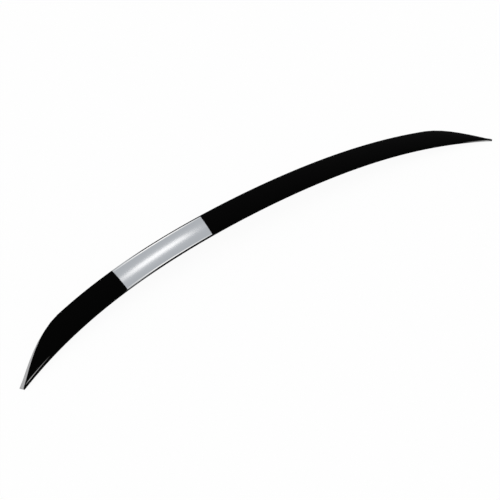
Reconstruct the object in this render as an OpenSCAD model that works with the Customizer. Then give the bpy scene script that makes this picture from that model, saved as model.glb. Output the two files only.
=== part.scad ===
// Boot lid lip spoiler: a slim bowed moulding with pointed tips and a silver band.
// X runs along the lip, +Y points to the hollow front side of its bow, and Z is up.
// The origin is the middle of the bonding face at the middle of the lip.

/* [Plan] */
// Length from tip to tip
lip_len = 1200; // [1100:10:1300]
// How far the tips reach forward of the middle of the front edge
bow = 96.5; // [70:0.5:130]
// Share of the bow that comes from the faster curve near the tips
bow_curl = 0.455; // [0.2:0.005:0.6]
// How far the tips drop below the middle, to follow the lid
crown = 37.5; // [15:0.5:45]

/* [Section] */
// Depth of the top face, from the front edge to the ridge
top_w = 51; // [40:1:60]
// Height of the front edge
front_h = 5.5; // [4.5:0.1:7]
// Height of the ridge along the rear
ridge_h = 15.5; // [14:0.5:24]
// How far the rear flank spreads from the ridge to its foot
flank_w = 9; // [8:0.5:18]
// Height of the small upright edge at the flank's foot
foot_h = 1.2; // [0.8:0.1:2]
// How far the top face swells above a straight line across it
top_swell = 1.6; // [0.5:0.1:3]
// Radius of the rounded front edge
front_r = 1.5; // [0.5:0.1:1.7]
// Radius of the rounded ridge
ridge_r = 2; // [1:0.1:3]

/* [Tips] */
// Length over which each end narrows to its tip
tip_len = 130; // [90:1:160]
// How suddenly the ridge falls away towards the tip
tip_sharpness = 1.28; // [1:0.02:1.6]
// Depth of the top face at the very tip
tip_w = 1.5; // [1:0.5:6]
// Height of the very tip
tip_h = 4; // [3:0.1:5]
// How far the front corner of each end stays back from its rear corner
tip_slant = 5; // [0:0.5:8]

/* [Silver band] */
// Distance of the band's middle from the middle of the lip
band_x = 235; // [150:0.5:290]
// Length of the band
band_len = 212; // [150:1:240]
// Thickness of the band's plate
band_t = 1.2; // [0.8:0.1:1.5]
// How far the band wraps down over the front edge
band_lip = 2.2; // [1.8:0.1:3]
// How far the front of the band's inner end lies beyond its rear
band_lean = 8.5; // [0:0.5:12]
// Length of the band and moulding over which that lean dies away
lean_reach = 40; // [20:5:60]
// Gap around the band's cut edges
band_gap = 0.15; // [0.1:0.05:0.4]
// Glue line under the band
glue_t = 0.1; // [0.05:0.05:0.2]

/* [Underside] */
// Thickness of the moulded skin over the pockets
skin_t = 3.2; // [2.8:0.1:4]
// Width of the bonding rail along each long edge
rail_w = 10; // [8:0.5:13]
// Number of pockets between the ribs
pocket_count = 10; // [6:1:14]
// Thickness of the ribs between the pockets
rib_t = 2.5; // [2:0.1:4]
// Draft of the pockets' walls, from the rim to the roof
draft = 1; // [0.6:0.1:1.5]
// Solid length left between the last pocket and the narrowing tip
end_land = 12; // [5:1:30]

/* [Hidden] */
half_len = lip_len / 2;
shoulder_x = half_len - tip_len;
base_w = top_w + flank_w;
pocket_reach = shoulder_x - end_land;
pocket_pitch = 2 * pocket_reach / pocket_count;
// Length over which the recess for the band steps down at its ends
step_run = 0.3;
band_start = band_x - band_len / 2;
band_end = band_x + band_len / 2;
recess_start = band_start - band_gap - step_run;
recess_end = band_end + band_gap + step_run;
// Numbers of straight steps that stand for each curve
body_steps = 56;
band_steps = 12;
pocket_steps = 4;
top_steps = 7;
round_steps = 3;
flank_steps = 3;
roof_steps = 4;
// Share of the stations that crowd towards the tips
tip_crowding = 0.4;
// How far the flank's control point sits down its slope, where 0.5 is a straight flank
flank_hollow = 0.42;
black = "#0b0b0c";
silver = "#acb2b8";

function mix(a, b, t) = a + (b - a) * t;
function curve(a, b, c, t) = mix(mix(a, b, t), mix(b, c, t), t);
function reversed(list) = [for (i = [len(list) - 1:-1:0]) list[i]];

// The lip's own lines, by station x: front edge, base and the narrowing of the tips
function along(x) = abs(x) / half_len;
function front_y(x) = bow * ((1 - bow_curl) * along(x) ^ 2 + bow_curl * along(x) ^ 4);
function base_z(x) = -crown * along(x) ^ 2;
function front_slope(x) = sign(x) * bow * (2 * (1 - bow_curl) * along(x)
    + 4 * bow_curl * along(x) ^ 3) / half_len;
function base_slope(x) = -sign(x) * 2 * crown * along(x) / half_len;
function tip_share(x) = min(1, max(0, (abs(x) - shoulder_x) / tip_len));
function fullness(x) = (1 - tip_share(x) ^ 2) ^ tip_sharpness;

// Corners of the section at station x, as [distance behind the front edge, height]
function front_corner(x) = [0, mix(tip_h, front_h, fullness(x))];
function ridge_corner(x) = [mix(tip_w, top_w, fullness(x)), mix(tip_h, ridge_h, fullness(x))];
function foot_corner(x) = [ridge_corner(x)[0] + flank_w, foot_h];
function flank_control(x) = mix(ridge_corner(x), foot_corner(x), flank_hollow)
    - [0, (1 - 2 * flank_hollow) * (ridge_corner(x)[1] - foot_h)];
function round_share(x) = mix(0.25, 1, fullness(x));

// Points on the top face and on the flank, with s and t running rearwards from 0 to 1
function top_point(x, s) = mix(front_corner(x), ridge_corner(x), s)
    + [0, top_swell * round_share(x) * 4 * s * (1 - s)];
function flank_point(x, t) = curve(ridge_corner(x), flank_control(x), foot_corner(x), t);

// Shares of the top face and flank that the roundings and the band's plate take up
function front_round(x) = front_r * round_share(x) / ridge_corner(x)[0];
function ridge_round(x) = ridge_r * round_share(x) / ridge_corner(x)[0];
function flank_round(x) = ridge_r * round_share(x) / norm(foot_corner(x) - ridge_corner(x)) / 2;
function flank_cut(x, back = 0) = flank_round(x) + (1.6 * band_t - back) / ridge_h;
function lip_edge(x, back = 0) = front_corner(x) + [0, back - band_lip];

// Runs of section points, each from the front rearwards
function front_rounding(x) = [for (i = [0:round_steps])
    curve(front_corner(x) - [0, front_r * round_share(x)], front_corner(x),
        top_point(x, front_round(x)), i / round_steps)];
function top_run(x) = [for (i = [1:top_steps])
    top_point(x, mix(front_round(x), 1 - ridge_round(x), i / (top_steps + 1)))];
function ridge_rounding(x) = [for (i = [0:round_steps])
    curve(top_point(x, 1 - ridge_round(x)), ridge_corner(x),
        flank_point(x, flank_round(x)), i / round_steps)];
function skin_run(x) = concat(front_rounding(x), top_run(x), ridge_rounding(x));

// The same run moved inwards, as the band's inner face and the bottom of its recess
function sunk_top(x, q, depth) = top_point(x, q / ridge_corner(x)[0]) - [0, depth];
function sunk_run(x, depth, back = 0) = let (low = lip_edge(x, back) + [depth, 0],
    high = sunk_top(x, depth, depth)) concat(
    [low, mix(low, high, 0.5), high, sunk_top(x, 2 * depth, depth)],
    [for (p = concat(top_run(x), ridge_rounding(x))) p - [0, depth]]);
function flank_run(x) = [for (i = [0:flank_steps])
    flank_point(x, mix(flank_cut(x), 1, i / flank_steps))];

// The recess steps down at the band's ends, and each pocket opens between two ribs
function ramp(distance, run) = min(1, max(0, distance / run));
function recess_share(x) = ramp(min(x - recess_start, recess_end - x), step_run);
function outer_run(x) = recess_share(x) == 0 ? skin_run(x)
    : let (skin = skin_run(x), sunk = sunk_run(x, band_t + glue_t))
        [for (i = [0:len(skin) - 1]) mix(skin[i], sunk[i], recess_share(x))];
function pocket_offset(x) = pocket_pitch / 2 - abs((x + pocket_reach) % pocket_pitch - pocket_pitch / 2);
function pocket_open(x) = abs(x) < pocket_reach ? ramp(pocket_offset(x) - rib_t / 2, draft) : 0;

// The roof of a pocket keeps the skin's thickness under the top face and the flank
function skin_height(q) = (q < top_w - skin_t ? top_point(0, q / top_w)[1]
    : mix(ridge_h, foot_h, (q - top_w) / flank_w) - 0.6 * skin_t) - skin_t;
function roof_q(i) = mix(rail_w + draft, base_w - rail_w - draft, i / roof_steps);
function roof_run(x) = [for (i = [roof_steps:-1:0])
    [roof_q(i) * base_share(x), skin_height(roof_q(i)) * pocket_open(x)]];
function base_share(x) = foot_corner(x)[0] / base_w;

function body_outside(x) = concat([lip_edge(x)], outer_run(x), flank_run(x));
function body_base(x) = concat([[foot_corner(x)[0], 0], [(base_w - rail_w) * base_share(x), 0]],
    roof_run(x), [[rail_w * base_share(x), 0], [0, 0]]);

// The band is a plate that wraps over the front edge and over the ridge, a little way down each
function band_section(x) = concat([lip_edge(x, band_gap)], skin_run(x),
    [flank_point(x, flank_cut(x, band_gap))], reversed(sunk_run(x, band_t, band_gap)));

// Moves a section's points to their station in the lip's own frame. Each tip's end is cut
// aslant, and the outside leans with the band's inner end, so a point may slide along the lip.
function slant(x, q) = -sign(x) * tip_slant * tip_share(x) ^ 2 * (1 - q / foot_corner(x)[0]);
function lean(x, q) = band_lean * (0.5 - q / top_w)
    * ramp(lean_reach - abs(x - band_start), lean_reach);
function slid(x, p, along_lip) = [x + along_lip,
    base_w / 2 + front_y(x) + front_slope(x) * along_lip - p[0],
    base_z(x) + base_slope(x) * along_lip + p[1]];
function placed(section, x) = [for (p = section) slid(x, p, slant(x, p[0]))];
function placed_leaning(section, x) = [for (p = section) slid(x, p, slant(x, p[0]) + lean(x, p[0]))];
function even_stations(from, to, steps) = [for (i = [0:steps]) mix(from, to, i / steps)];
function crowded(s) = mix(s, sin(90 * s), tip_crowding);
function sorted(list) = len(list) < 2 ? list : let (pivot = list[floor(len(list) / 2)])
    concat(sorted([for (v = list) if (v < pivot) v]), [pivot],
        sorted([for (v = list) if (v > pivot) v]));

// The body has stations at the ends of the recess and of each pocket, and between them
function pocket_stations(start, end) = concat([start],
    even_stations(start + draft, end - draft, pocket_steps), [end]);
body_stations = sorted(concat(
    [for (s = even_stations(-1, 1, body_steps)) let (x = half_len * crowded(s))
        if (abs(x) > pocket_reach) x],
    [for (i = [0:pocket_count - 1]) let (start = -pocket_reach + i * pocket_pitch + rib_t / 2)
        each pocket_stations(start, start + pocket_pitch - rib_t)],
    [recess_start, recess_start + step_run, recess_end - step_run, recess_end]));

// Skins a row of sections that all have the same number of points, with triangles over each end
module skinned(rings, end_cap) {
    count = len(rings[0]);
    last = len(rings) - 1;
    sides = [for (r = [0:last - 1], p = [0:count - 1]) let (next = (p + 1) % count,
        a = r * count + p, b = r * count + next, c = a + count, d = b + count)
        each [[a, c, b], [b, c, d]]];
    far_cap = [for (t = end_cap) [for (p = reversed(t)) last * count + p]];
    polyhedron(points = [for (ring = rings) each ring], faces = concat(sides, end_cap, far_cap),
        convexity = 6);
}

// The body's end fans out from its rail's inner corner, and along its base from the flank's foot
function body_cap(outside, base) = let (foot = outside - 1, all = outside + base, rail = all - 2)
    concat([[rail, all - 1, 0]], [for (p = [0:foot - 1]) [rail, p, p + 1]],
        [for (p = [outside:rail - 1]) [foot, p, p + 1]]);
// The band's end is a ladder between its outer and its inner run
function band_cap(count) = let (half = count / 2) concat([[0, 1, count - 1]],
    [for (p = [1:half - 2]) each [[p, p + 1, count - p], [p + 1, count - p - 1, count - p]]],
    [[half - 1, half, half + 1]]);

module lip_body() {
    cap = body_cap(len(body_outside(0)), len(body_base(0)));
    color(black) skinned([for (x = body_stations)
        concat(placed_leaning(body_outside(x), x), placed(body_base(x), x))], cap);
}

module silver_band() {
    cap = band_cap(len(band_section(band_x)));
    color(silver) skinned([for (x = even_stations(band_start, band_end, band_steps))
        placed_leaning(band_section(x), x)], cap);
}

lip_body();
silver_band();
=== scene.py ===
import bmesh
import bpy
from mathutils import Matrix, Vector


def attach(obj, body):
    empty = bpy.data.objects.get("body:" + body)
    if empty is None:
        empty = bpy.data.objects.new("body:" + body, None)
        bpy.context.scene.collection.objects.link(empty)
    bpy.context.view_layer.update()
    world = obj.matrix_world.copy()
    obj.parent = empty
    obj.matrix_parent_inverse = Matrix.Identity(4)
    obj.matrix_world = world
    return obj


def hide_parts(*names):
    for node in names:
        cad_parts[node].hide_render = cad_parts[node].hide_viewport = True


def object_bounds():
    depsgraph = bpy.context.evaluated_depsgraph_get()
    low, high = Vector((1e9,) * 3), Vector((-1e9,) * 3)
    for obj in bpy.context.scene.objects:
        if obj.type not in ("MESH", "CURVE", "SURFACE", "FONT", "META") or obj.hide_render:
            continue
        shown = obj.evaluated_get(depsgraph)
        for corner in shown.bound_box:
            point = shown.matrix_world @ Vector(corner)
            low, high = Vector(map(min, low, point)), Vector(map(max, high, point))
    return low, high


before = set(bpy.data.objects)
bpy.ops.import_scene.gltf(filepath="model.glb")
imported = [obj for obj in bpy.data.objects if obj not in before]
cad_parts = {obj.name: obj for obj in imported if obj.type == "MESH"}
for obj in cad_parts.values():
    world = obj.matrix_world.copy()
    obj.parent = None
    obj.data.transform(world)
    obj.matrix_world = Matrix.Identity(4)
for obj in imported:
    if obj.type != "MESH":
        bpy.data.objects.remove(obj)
cad_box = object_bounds()

# The camera stands high on the hollow front side of the lip, towards the end with the silver band,
# and looks down along it. Its lens and place put the lip's outline where the photograph has it.
CAMERA_PLACE = Vector((0.9665, 1.1746, 1.1372))
CAMERA_AIM = Vector((0.1038, 0.1124, 0.0))
bpy.ops.object.camera_add(location=CAMERA_PLACE)
camera = bpy.context.object
camera.name = "camera"
camera.data.lens = 67.61
camera.data.sensor_width = 36
camera.rotation_mode = "QUATERNION"
camera.rotation_quaternion = (CAMERA_AIM - CAMERA_PLACE).to_track_quat("-Z", "Y")
bpy.context.scene.camera = camera
bpy.context.scene.view_settings.view_transform = "Standard"


# The moulding is one injection moulded piece of black ABS. Its top and front wall are sprayed a deep
# black, its rear flank keeps its pale grey primer, and its ribbed underside is bare plastic for the glue.
# It rests on its two low tips on the floor, as it lies before it is bonded to the lid.
def srgb(hex_colour):
    """Linear colour of an sRGB hex value such as #ACB2B8."""
    channels = [int(hex_colour[i:i + 2], 16) / 255 for i in (1, 3, 5)]
    return [c / 12.92 if c <= 0.04045 else ((c + 0.055) / 1.055) ** 2.4 for c in channels] + [1]


def add_node(tree, kind, feeds=None, settings=None, **values):
    """Adds a node. feeds maps an input's name or number to a socket or to a value."""
    node = tree.nodes.new(kind)
    for name, value in (settings or {}).items():
        setattr(node, name, value)
    for name, value in values.items():
        node.inputs[name.replace("_", " ")].default_value = value
    for name, source in (feeds or {}).items():
        if isinstance(source, bpy.types.NodeSocket):
            tree.links.new(source, node.inputs[name])
        else:
            node.inputs[name].default_value = source
    return node


def new_material(name):
    """A new material and its node tree, which is still empty."""
    material = bpy.data.materials.new(name)
    material.use_nodes = True
    material.node_tree.nodes.clear()
    return material, material.node_tree


# The sizes of the lip's curves, as in the part's source. FRONT_PLACE is how far forward the front edge
# lies at the lip's middle, and the heights are over the lid.
MM = 0.001
HALF_LENGTH = 600 * MM
FRONT_PLACE = 30 * MM
BOW = 96.5 * MM
BOW_CURL = 0.455
CROWN = 37.5 * MM
TIP_LENGTH = 130 * MM
TIP_SHARPNESS = 1.28
TIP_HEIGHT = 4 * MM
RIDGE_HEIGHT = 15.5 * MM
MERGE_DISTANCE = 0.005 * MM
SMOOTH_ANGLE = 0.55


def merged_copy(node_name, piece_name):
    """A CAD node's own form as one closed skin, left in edit mode with nothing selected."""
    bpy.ops.object.select_all(action="DESELECT")
    piece = bpy.data.objects.new(piece_name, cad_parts[node_name].data.copy())
    bpy.context.scene.collection.objects.link(piece)
    piece.data.materials.clear()
    piece.select_set(True)
    bpy.context.view_layer.objects.active = piece
    bpy.ops.object.mode_set(mode="EDIT")
    bpy.ops.mesh.select_all(action="SELECT")
    bpy.ops.mesh.customdata_custom_splitnormals_clear()
    bpy.ops.mesh.remove_doubles(threshold=MERGE_DISTANCE)
    bpy.ops.mesh.select_all(action="DESELECT")
    return piece


def behind_front_edge(point):
    """Distance of a point behind the lip's front edge, which bows forwards towards both tips."""
    along = abs(point.x) / HALF_LENGTH
    return FRONT_PLACE + BOW * ((1 - BOW_CURL) * along ** 2 + BOW_CURL * along ** 4) - point.y


def over_the_lid(point):
    """Height of a point over the crowned bonding face."""
    return point.z + CROWN * (point.x / HALF_LENGTH) ** 2


def fullness(x):
    """Share of the full section at x: one up to the shoulders, none at the tips."""
    into_tip = max(0, (abs(x) - HALF_LENGTH + TIP_LENGTH) / TIP_LENGTH)
    return max(0, 1 - into_tip ** 2) ** TIP_SHARPNESS


moulding = merged_copy("lip_body", "lip_moulding")
bpy.ops.object.mode_set(mode="OBJECT")
bpy.ops.object.shade_smooth_by_angle(angle=SMOOTH_ANGLE)

# Sprayed enamel in a deep black dries with a faint orange peel, in waves about 2.4 mm long. The
# photograph shows it as pure black with no light on it, so its gloss is far below a clean enamel's.
PEEL_WAVE = 2.4 * MM
black_paint, tree = new_material("sprayed_black_enamel")
place = add_node(tree, "ShaderNodeTexCoord")
peel = add_node(tree, "ShaderNodeTexNoise", {"Vector": place.outputs["Object"]},
                Scale=1 / PEEL_WAVE, Detail=2.0)
peel_bump = add_node(tree, "ShaderNodeBump", {"Height": peel.outputs[0]}, Strength=0.08, Distance=0.3 * MM)
sheen = add_node(tree, "ShaderNodeMapRange", {"Value": peel.outputs[0]}, To_Min=0.36, To_Max=0.5)

# The same two measures as above, in nodes: how far the paint lies behind the front edge, and its height.
apart = add_node(tree, "ShaderNodeSeparateXYZ", {"Vector": place.outputs["Object"]})
squared = add_node(tree, "ShaderNodeMath", {0: apart.outputs["X"], 1: apart.outputs["X"]},
                   {"operation": "MULTIPLY"})
curve = add_node(tree, "ShaderNodeMath", {
    0: squared.outputs[0], 1: BOW * BOW_CURL / HALF_LENGTH ** 4, 2: BOW * (1 - BOW_CURL) / HALF_LENGTH ** 2},
    {"operation": "MULTIPLY_ADD"})
front_edge = add_node(tree, "ShaderNodeMath", {0: squared.outputs[0], 1: curve.outputs[0], 2: FRONT_PLACE},
                      {"operation": "MULTIPLY_ADD"})
back = add_node(tree, "ShaderNodeMath", {0: front_edge.outputs[0], 1: apart.outputs["Y"]},
                {"operation": "SUBTRACT"})
height = add_node(tree, "ShaderNodeMath", {
    0: squared.outputs[0], 1: CROWN / HALF_LENGTH ** 2, 2: apart.outputs["Z"]}, {"operation": "MULTIPLY_ADD"})

# Towards both tips a paler grey is painted into the black as painted light: on the band's side a painted
# highlight in a fine line behind the front edge, and on the other side a painted highlight along the foot of
# the front wall. Below the band's outer end the wall is painted a little lighter. A mark fades in at both its
# ends: each pair holds the place along the lip where it begins to show, and the place where it is full.
HIGHLIGHT_LINE_BACK = 2.2 * MM
HIGHLIGHT_LINE_FADES = ((528 * MM, 580 * MM), (591 * MM, 580 * MM))
LIT_FOOT_FADES = ((-525 * MM, -580 * MM), (-595 * MM, -582 * MM))
LIT_WALL_FADES = ((262 * MM, 305 * MM), (344 * MM, 340 * MM))
LIT_WALL_SHARE = 0.12
beside = add_node(tree, "ShaderNodeMath", {0: back.outputs[0], 1: HIGHLIGHT_LINE_BACK},
                  {"operation": "SUBTRACT"})
beside = add_node(tree, "ShaderNodeMath", {0: beside.outputs[0]}, {"operation": "ABSOLUTE"})
line = add_node(tree, "ShaderNodeMapRange", {"Value": beside.outputs[0]},
                From_Min=0.8 * MM, From_Max=0.3 * MM)
wall = add_node(tree, "ShaderNodeMapRange", {"Value": back.outputs[0]}, From_Min=0.5 * MM, From_Max=0.2 * MM)
low = add_node(tree, "ShaderNodeMapRange", {"Value": height.outputs[0]},
               From_Min=3.4 * MM, From_Max=2.4 * MM)
foot = add_node(tree, "ShaderNodeMath", {0: wall.outputs[0], 1: low.outputs[0]}, {"operation": "MULTIPLY"})
lit_wall = add_node(tree, "ShaderNodeMath", {0: wall.outputs[0], 1: LIT_WALL_SHARE}, {"operation": "MULTIPLY"})
painted_light = 0.0
for mark, fades in ((line, HIGHLIGHT_LINE_FADES), (foot, LIT_FOOT_FADES), (lit_wall, LIT_WALL_FADES)):
    for unmarked, marked in fades:
        fade = add_node(tree, "ShaderNodeMapRange", {"Value": apart.outputs["X"]},
                        From_Min=unmarked, From_Max=marked)
        mark = add_node(tree, "ShaderNodeMath", {0: mark.outputs[0], 1: fade.outputs[0]},
                        {"operation": "MULTIPLY"})
    painted_light = add_node(tree, "ShaderNodeMath", {0: painted_light, 1: mark.outputs[0]},
                    {"operation": "MAXIMUM"}).outputs[0]
# This mix paints the painted highlights and painted light above into the black.
tint = add_node(tree, "ShaderNodeMix", {"Factor": painted_light, 6: srgb("#020202"), 7: srgb("#B4B4B4")},
                {"data_type": "RGBA"})
paint = add_node(tree, "ShaderNodeBsdfPrincipled", {
    "Base Color": tint.outputs[2], "Normal": peel_bump.outputs["Normal"], "Roughness": sheen.outputs[0]},
    Specular_IOR_Level=0.01)
add_node(tree, "ShaderNodeOutputMaterial", {"Surface": paint.outputs["BSDF"]})

# The flank's pale grey is a satin primer coat on the ABS, with a dry fleck about 1.1 mm across.
PRIMER_FLECK = 1.1 * MM
grey_primer, tree = new_material("pale_grey_primer")
place = add_node(tree, "ShaderNodeTexCoord")
fleck = add_node(tree, "ShaderNodeTexNoise", {"Vector": place.outputs["Object"]},
                 Scale=1 / PRIMER_FLECK, Detail=3.0)
tint = add_node(tree, "ShaderNodeMix", {"Factor": fleck.outputs[0], 6: srgb("#A2A2A3"), 7: srgb("#AEAEAF")},
                {"data_type": "RGBA"})
fleck_bump = add_node(tree, "ShaderNodeBump", {"Height": fleck.outputs[0]}, Strength=0.15, Distance=0.1 * MM)
primer = add_node(tree, "ShaderNodeBsdfPrincipled", {
    "Base Color": tint.outputs[2], "Normal": fleck_bump.outputs["Normal"]},
    Roughness=0.55, Specular_IOR_Level=0.3)
add_node(tree, "ShaderNodeOutputMaterial", {"Surface": primer.outputs["BSDF"]})

# Bare ABS takes the tool's fine spark grain, about 0.2 mm. It is drawn at 1.4 mm, so that it shows at all.
DRAWN_GRAIN = 1.4 * MM
bare_plastic, tree = new_material("moulded_black_abs")
place = add_node(tree, "ShaderNodeTexCoord")
grain = add_node(tree, "ShaderNodeTexNoise", {"Vector": place.outputs["Object"]},
                 Scale=1 / DRAWN_GRAIN, Detail=4.0)
grain_bump = add_node(tree, "ShaderNodeBump", {"Height": grain.outputs[0]}, Strength=0.3, Distance=0.2 * MM)
plastic = add_node(tree, "ShaderNodeBsdfPrincipled", {"Normal": grain_bump.outputs["Normal"]},
                   Base_Color=srgb("#161617"), Roughness=0.5, Specular_IOR_Level=0.4)
add_node(tree, "ShaderNodeOutputMaterial", {"Surface": plastic.outputs["BSDF"]})

# Faces take their finish by place: the underside is bare, the flank and most of each cut tip end keep
# the primer, and all else is black. The black goes a little way over the ridge, less so at the tips.
BLACK_BELOW_TIP_RIDGE = 0.36 * MM
MORE_AT_FULL_SECTION = 0.80 * MM
BLACK_FRONT_OF_TIP_END = 1.6 * MM
finishes = [black_paint, grey_primer, bare_plastic]
for finish in finishes:
    moulding.data.materials.append(finish)
for face in moulding.data.polygons:
    faces_down = face.normal.z < -0.5
    faces_back = face.normal.y < -0.15
    faces_out = abs(face.normal.x) > 0.8
    full = fullness(face.center.x)
    below_ridge = TIP_HEIGHT + (RIDGE_HEIGHT - TIP_HEIGHT) * full - over_the_lid(face.center)
    on_flank = faces_back and below_ridge > BLACK_BELOW_TIP_RIDGE + MORE_AT_FULL_SECTION * full
    on_tip_end = faces_out and behind_front_edge(face.center) > BLACK_FRONT_OF_TIP_END
    if faces_down:
        face.material_index = finishes.index(bare_plastic)
    elif on_flank or on_tip_end:
        face.material_index = finishes.index(grey_primer)
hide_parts("lip_body")
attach(moulding, "root")

# The silver band is a thin black ABS plate, glued into a shallow recess that runs over the moulding's
# top. It wraps over the front edge and over the ridge, and is sprayed silver; its rim is painted shade.
# A painted highlight runs along both its long edges.
FRONT_LINE_BACK = 1.5 * MM
LINE_START = 45.4 * MM
LINE_END = 48 * MM
RIM_HEIGHT = 4.6 * MM
band = merged_copy("silver_band", "silver_band_plate")

# The rear line lies between the plate's last two rows of points before the ridge. The edges that join
# those rows are cut twice, and the new points slide along the sloping top to where the line starts and ends.
# TOP_HEIGHT tells the top from the plate's underside there, and TOP_SLOPE is how steeply the top rises.
ROW_BEFORE_RIDGE = 43.06 * MM
ROW_AT_RIDGE = 49 * MM
ROW_SLACK = 0.3 * MM
TOP_HEIGHT = 14.2 * MM
TOP_SLOPE = 0.088
bpy.ops.mesh.select_all(action="SELECT")
bpy.ops.mesh.tris_convert_to_quads(face_threshold=0.2, shape_threshold=0.7)
bpy.ops.mesh.select_all(action="DESELECT")
bpy.ops.mesh.select_mode(type="EDGE")
mesh = bmesh.from_edit_mesh(band.data)
for edge in mesh.edges:
    backs = sorted(behind_front_edge(end.co) for end in edge.verts)
    on_top = all(over_the_lid(end.co) > TOP_HEIGHT for end in edge.verts)
    edge.select = (on_top and abs(backs[0] - ROW_BEFORE_RIDGE) < ROW_SLACK
                   and abs(backs[1] - ROW_AT_RIDGE) < ROW_SLACK)
bmesh.update_edit_mesh(band.data)
bpy.ops.mesh.subdivide(number_cuts=2)
mesh = bmesh.from_edit_mesh(band.data)
for point in mesh.verts:
    back = behind_front_edge(point.co)
    is_new = ROW_BEFORE_RIDGE + ROW_SLACK < back < ROW_AT_RIDGE - ROW_SLACK
    if is_new and over_the_lid(point.co) > TOP_HEIGHT:
        move = (LINE_START if back < (ROW_BEFORE_RIDGE + ROW_AT_RIDGE) / 2 else LINE_END) - back
        point.co += Vector((0, -move, TOP_SLOPE * move))
bmesh.update_edit_mesh(band.data)
bpy.ops.object.mode_set(mode="OBJECT")
bpy.ops.object.shade_smooth_by_angle(angle=SMOOTH_ANGLE)

# Silver metallic paint mirrors the room softly under a thin clear lacquer. Its flakes of 0.05 mm are far
# too fine to show, so they are drawn as clusters of 0.7 mm that vary the silver a little.
FLAKE_CLUSTER = 0.7 * MM
silver_paint, tree = new_material("silver_metallic_paint")
place = add_node(tree, "ShaderNodeTexCoord")
flake = add_node(tree, "ShaderNodeTexNoise", {"Vector": place.outputs["Object"]},
                 Scale=1 / FLAKE_CLUSTER, Detail=2.0)
tint = add_node(tree, "ShaderNodeMix", {"Factor": flake.outputs[0], 6: srgb("#AAAEB3"), 7: srgb("#B2B6BB")},
                {"data_type": "RGBA"})
silver = add_node(tree, "ShaderNodeBsdfPrincipled", {"Base Color": tint.outputs[2]},
                  Metallic=1.0, Roughness=0.15, Coat_Weight=0.25, Coat_Roughness=0.1)
add_node(tree, "ShaderNodeOutputMaterial", {"Surface": silver.outputs["BSDF"]})

# The lines along both long edges are painted highlights, a brighter silver than the paint. They are
# brightest in the middle and fade towards both cut ends.
highlight_lacquer, tree = new_material("painted_highlight_silver")
place = add_node(tree, "ShaderNodeTexCoord")
apart = add_node(tree, "ShaderNodeSeparateXYZ", {"Vector": place.outputs["Object"]})
outer_end = add_node(tree, "ShaderNodeMapRange", {"Value": apart.outputs["X"]},
                     From_Min=360 * MM, From_Max=270 * MM)
inner_end = add_node(tree, "ShaderNodeMapRange", {"Value": apart.outputs["X"]},
                     From_Min=110 * MM, From_Max=210 * MM)
highlight_strength = add_node(tree, "ShaderNodeMath", {0: outer_end.outputs[0], 1: inner_end.outputs[0]},
                  {"operation": "MULTIPLY"})
tint = add_node(tree, "ShaderNodeMix", {"Factor": highlight_strength.outputs[0], 6: srgb("#B4B8BC"), 7: srgb("#FAFAFA")},
                {"data_type": "RGBA"})
bright = add_node(tree, "ShaderNodeBsdfPrincipled", {"Base Color": tint.outputs[2]},
                  Metallic=1.0, Roughness=0.25)
add_node(tree, "ShaderNodeOutputMaterial", {"Surface": bright.outputs["BSDF"]})

# The rim outside the lines is painted shade, a dark edge where the plate's edges turn away from the light.
# Towards the outer cut end the painted shade lightens to grey.
shade_rim, tree = new_material("painted_shade_rim")
place = add_node(tree, "ShaderNodeTexCoord")
apart = add_node(tree, "ShaderNodeSeparateXYZ", {"Vector": place.outputs["Object"]})
full_shade = add_node(tree, "ShaderNodeMapRange", {"Value": apart.outputs["X"]},
                 From_Min=310 * MM, From_Max=265 * MM)
tint = add_node(tree, "ShaderNodeMix", {"Factor": full_shade.outputs[0], 6: srgb("#A8ABAE"), 7: srgb("#101011")},
                {"data_type": "RGBA"})
rim = add_node(tree, "ShaderNodeBsdfPrincipled", {"Base Color": tint.outputs[2]},
               Roughness=0.5, Specular_IOR_Level=0.1)
add_node(tree, "ShaderNodeOutputMaterial", {"Surface": rim.outputs["BSDF"]})

# The plate is bare below. Its painted shade rim is all that lies behind the rear line, and the low part of
# its front.
finishes = [silver_paint, highlight_lacquer, shade_rim, bare_plastic]
for finish in finishes:
    band.data.materials.append(finish)
for face in band.data.polygons:
    faces_down = face.normal.z < -0.3
    faces_up = face.normal.z > 0.3
    back = behind_front_edge(face.center)
    on_front_line = faces_up and back < FRONT_LINE_BACK
    if faces_down:
        face.material_index = finishes.index(bare_plastic)
    elif back > LINE_END or over_the_lid(face.center) < RIM_HEIGHT:
        face.material_index = finishes.index(shade_rim)
    elif back > LINE_START or on_front_line:
        face.material_index = finishes.index(highlight_lacquer)
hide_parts("silver_band")
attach(band, "root")

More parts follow.
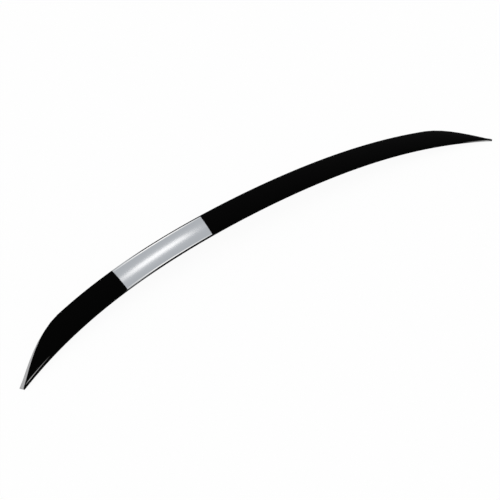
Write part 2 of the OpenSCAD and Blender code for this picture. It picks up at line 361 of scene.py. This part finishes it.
# The floor is a plain white board that the lip's tips touch. It shows as pure white,
# and keeps a soft trace of the lip's shadow.
FLOOR_WIDTH = 24.0
FLOOR_HEIGHT = cad_box[0].z
SHADOW_SHARE = 0.06
bpy.ops.mesh.primitive_plane_add(size=FLOOR_WIDTH, location=(0, 0, FLOOR_HEIGHT))
floor = bpy.context.object
floor.name = "floor"
bpy.ops.object.transform_apply(location=True)
white_board, tree = new_material("white_board")
rays = add_node(tree, "ShaderNodeLightPath")
seen = add_node(tree, "ShaderNodeMath", {0: rays.outputs["Is Camera Ray"], 1: rays.outputs["Is Glossy Ray"]},
                {"operation": "MAXIMUM"})
seen = add_node(tree, "ShaderNodeMath", {0: seen.outputs[0], 1: rays.outputs["Is Transmission Ray"]},
                {"operation": "MAXIMUM"})
share = add_node(tree, "ShaderNodeMath", {0: seen.outputs[0], 1: 1 - SHADOW_SHARE},
                 {"operation": "MULTIPLY"})
board = add_node(tree, "ShaderNodeBsdfDiffuse", Color=srgb("#F4F4F4"))
white = add_node(tree, "ShaderNodeEmission", Color=(1, 1, 1, 1), Strength=1.0)
mixed = add_node(tree, "ShaderNodeMixShader", {0: share.outputs[0], 1: board.outputs[0], 2: white.outputs[0]})
add_node(tree, "ShaderNodeOutputMaterial", {"Surface": mixed.outputs[0]})
floor.data.materials.append(white_board)

# The studio is an even pale sky, and one soft strip light, a little warm, high behind the lip.
# It stands where the silver band mirrors it to the camera as the light line along the band's middle.
world = bpy.data.worlds.new("studio")
world.use_nodes = True
tree = world.node_tree
tree.nodes.clear()
sky = add_node(tree, "ShaderNodeBackground", Color=(1, 1, 1, 1), Strength=0.95)
add_node(tree, "ShaderNodeOutputWorld", {"Surface": sky.outputs[0]})
bpy.context.scene.world = world

STRIP_DISTANCE = 3.0
STRIP_AIM = Vector((0.240, 0.020, 0.007))
STRIP_DIRECTION = Vector((-0.352, -0.340, 0.872)).normalized()
STRIP_LENGTHWISE = Vector((-0.891, -0.133, -0.433))
strip_across = STRIP_DIRECTION.cross(STRIP_LENGTHWISE).normalized()
bpy.ops.object.light_add(type="AREA", location=STRIP_AIM + STRIP_DISTANCE * STRIP_DIRECTION)
strip = bpy.context.object
strip.name = "strip_light"
strip.data.shape = "RECTANGLE"
strip.data.size = 0.48
strip.data.size_y = 0.25
strip.data.energy = 0.73
strip.data.color = (1.0, 0.93, 0.86)
strip.rotation_mode = "QUATERNION"
strip.rotation_quaternion = Matrix((
    strip_across.cross(STRIP_DIRECTION), strip_across, STRIP_DIRECTION)).transposed().to_quaternion()

bpy.context.view_layer.update()
